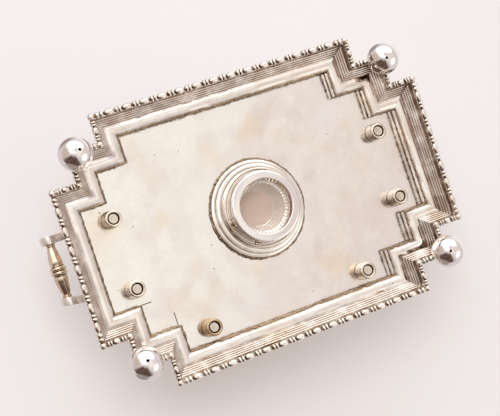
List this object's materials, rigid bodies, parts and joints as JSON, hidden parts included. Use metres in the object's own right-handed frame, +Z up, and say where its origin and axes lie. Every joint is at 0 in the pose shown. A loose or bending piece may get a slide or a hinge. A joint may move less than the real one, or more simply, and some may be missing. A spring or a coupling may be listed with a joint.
{
  "type": "inkwell",
  "caption": "Silver-plated inkstand: a stepped-corner tray with a bead-and-reel border on ball feet, end handles, pen rests and a lift-out glass inkwell with a hinged domed lid.",
  "frame": {"origin": "on the table, under the middle of the tray", "axes": "+X along the tray's length, -Y to the front where the pens lie, +Z up"},
  "size_m": [0.2076, 0.1314, 0.0853],
  "materials": {
    "silver_plate": "silver plate on base metal, worn and lightly scratched",
    "polished_silver_plate": "polished silver plate",
    "tarnished_silver_plate": "silver plate with tan and brown tarnish",
    "bare_fixings": "dull plated brass",
    "worn_nuts": "satin plated brass",
    "clear_glass": "polished cut glass"
  },
  "bodies": {
    "tray": {"base_plate": "silver_plate", "front_moulding": "tarnished_silver_plate", "back_moulding": "tarnished_silver_plate", "left_moulding": "tarnished_silver_plate", "right_moulding": "tarnished_silver_plate", "front_left_corner_moulding": "tarnished_silver_plate", "front_right_corner_moulding": "tarnished_silver_plate", "back_left_corner_moulding": "tarnished_silver_plate", "back_right_corner_moulding": "tarnished_silver_plate", "front_border": "silver_plate", "back_border": "silver_plate", "left_border": "silver_plate", "right_border": "silver_plate", "front_left_corner_border": "silver_plate", "front_right_corner_border": "silver_plate", "back_left_corner_border": "silver_plate", "back_right_corner_border": "silver_plate", "front_left_foot": "polished_silver_plate", "front_right_foot": "polished_silver_plate", "back_left_foot": "polished_silver_plate", "back_right_foot": "polished_silver_plate", "well_collar": "tarnished_silver_plate", "well_cup": "silver_plate", "well_rim": "polished_silver_plate", "collar_lugs": "tarnished_silver_plate", "gallery_ring": "polished_silver_plate", "right_handle_straight_arm": "silver_plate", "right_handle_toed_arm": "silver_plate", "left_handle_straight_arm": "silver_plate", "left_handle_toed_arm": "silver_plate", "right_handle_grips": "silver_plate", "left_handle_grips": "silver_plate", "right_handle_ring": "silver_plate", "left_handle_ring": "silver_plate", "right_handle_rod": "bare_fixings", "left_handle_rod": "bare_fixings", "left_pen_rest": "silver_plate", "right_pen_rest": "silver_plate", "handle_studs": "bare_fixings", "pen_rest_studs": "bare_fixings", "handle_nuts": "worn_nuts", "pen_rest_nuts": "worn_nuts"},
    "inkwell": {"glass_well": "clear_glass", "neck_mount": "polished_silver_plate", "hinge_pin": "bare_fixings"},
    "lid": {"lid_dome": "polished_silver_plate", "lid_knuckle": "silver_plate", "lid_lining": "tarnished_silver_plate", "lid_knob": "polished_silver_plate"}
  },
  "joints": [
    {"name": "inkwell_lift", "type": "slide", "parent": "tray", "child": "inkwell", "axis": [0, 0, 1], "range_m": [0, 0.06]},
    {"name": "lid_hinge", "type": "hinge", "parent": "inkwell", "child": "lid", "pos_m": [0, 0.019, 0.0662], "axis": [-1, 0, 0], "range_deg": [0, 105]}
  ]
}
